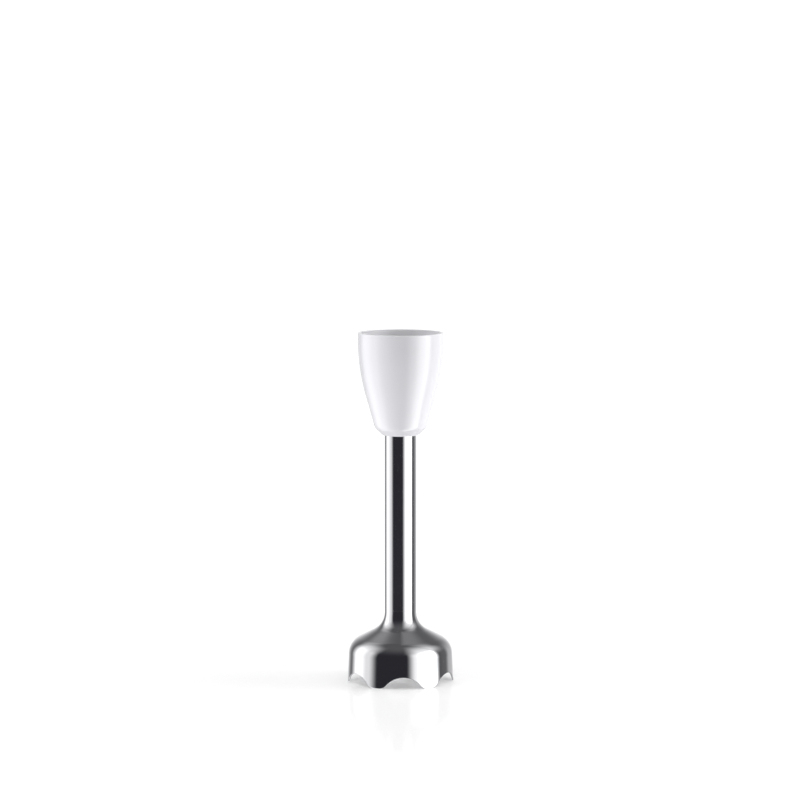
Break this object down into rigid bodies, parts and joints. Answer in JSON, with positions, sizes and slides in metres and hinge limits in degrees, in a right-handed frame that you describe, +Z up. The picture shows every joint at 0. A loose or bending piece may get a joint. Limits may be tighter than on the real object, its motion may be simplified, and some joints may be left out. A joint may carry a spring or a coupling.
{
  "type": "immersion blender blending shaft",
  "caption": "Detachable blending shaft: a white tapered coupling cup on a polished steel tube that flares into a scalloped bell over a rotating blade.",
  "frame": {"origin": "centre of the circle on which the bell's feet stand, at floor level", "axes": "+Z up along the drive shaft, from the bell to the coupling cup; +Y and -Y each point at the middle of a scallop in the bell's rim; the blade lies along X at rest"},
  "size_m": [0.065, 0.0644, 0.2145],
  "materials": {
    "cup_plastic": "white glossy moulded plastic",
    "liner_plastic": "white satin moulded plastic",
    "screw_steel": "zinc-plated steel",
    "ring_rubber": "black nitrile rubber",
    "polished_steel": "stainless steel polished bright",
    "housing_plastic": "light grey satin plastic",
    "bush_bronze": "oil-filled sintered bronze",
    "guide_plastic": "natural acetal",
    "carrier_plastic": "dark grey satin plastic",
    "seal_rubber": "brown fluoro rubber",
    "spring_steel": "bright drawn wire",
    "shaft_steel": "ground steel",
    "driver_plastic": "black glass-filled plastic",
    "washer_plastic": "natural plastic",
    "blade_steel": "stamped stainless steel with ground edges"
  },
  "bodies": {
    "shell": {"coupling_cup": "cup_plastic", "socket_liner": "liner_plastic", "socket_screws": "screw_steel", "tube_o_ring": "ring_rubber", "shaft_tube": "polished_steel", "bell": "polished_steel", "spindle_housing": "housing_plastic", "upper_bush": "bush_bronze", "shaft_guide": "guide_plastic", "lower_bearing_carrier": "carrier_plastic", "carrier_o_ring": "ring_rubber", "lower_bush": "bush_bronze", "shaft_seal": "seal_rubber", "seal_spring": "spring_steel", "seal_cap": "polished_steel", "upper_thrust_washer": "washer_plastic", "lower_thrust_washer": "washer_plastic"},
    "rotor": {"drive_shaft": "shaft_steel", "drive_coupling": "driver_plastic", "driver_pin": "spring_steel", "upper_clip": "spring_steel", "lower_clip": "spring_steel", "slinger": "washer_plastic", "blade_collar": "shaft_steel", "blade": "blade_steel", "blade_rivet": "shaft_steel"}
  },
  "joints": [
    {"name": "drive_spin", "type": "hinge", "parent": "shell", "child": "rotor", "pos_m": [0, 0, 0.1], "axis": [0, 0, 1], "continuous": true}
  ]
}
